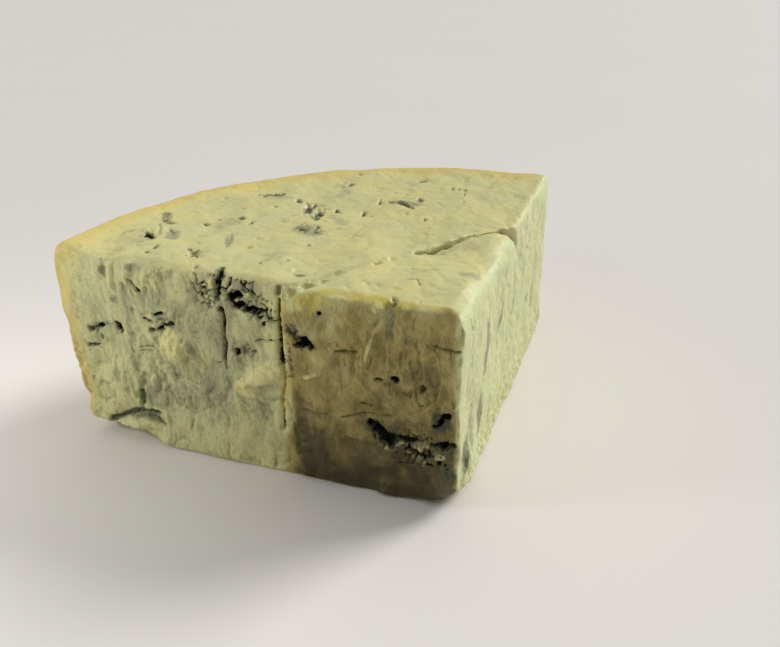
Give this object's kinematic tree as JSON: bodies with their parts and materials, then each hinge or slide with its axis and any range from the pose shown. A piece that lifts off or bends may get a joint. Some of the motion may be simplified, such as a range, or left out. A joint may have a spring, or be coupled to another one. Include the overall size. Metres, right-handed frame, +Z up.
{
  "type": "gorgonzola wedge",
  "caption": "Tall wedge of blue-veined soft cheese cut from a wheel, with pitted mould pockets and a deep slit across its point.",
  "frame": {"origin": "bottom centre of the wedge's box, on the face it stands on", "axes": "+Z up, -Y towards the wedge's point, +Y towards the rind, +X across the wedge, to the right seen from the point"},
  "size_m": [0.2138, 0.1589, 0.0805],
  "materials": {
    "cheese": "moist satin, blue-green veins"
  },
  "bodies": {
    "root": {"gorgonzola_wedge": "cheese"}
  },
  "joints": []
}
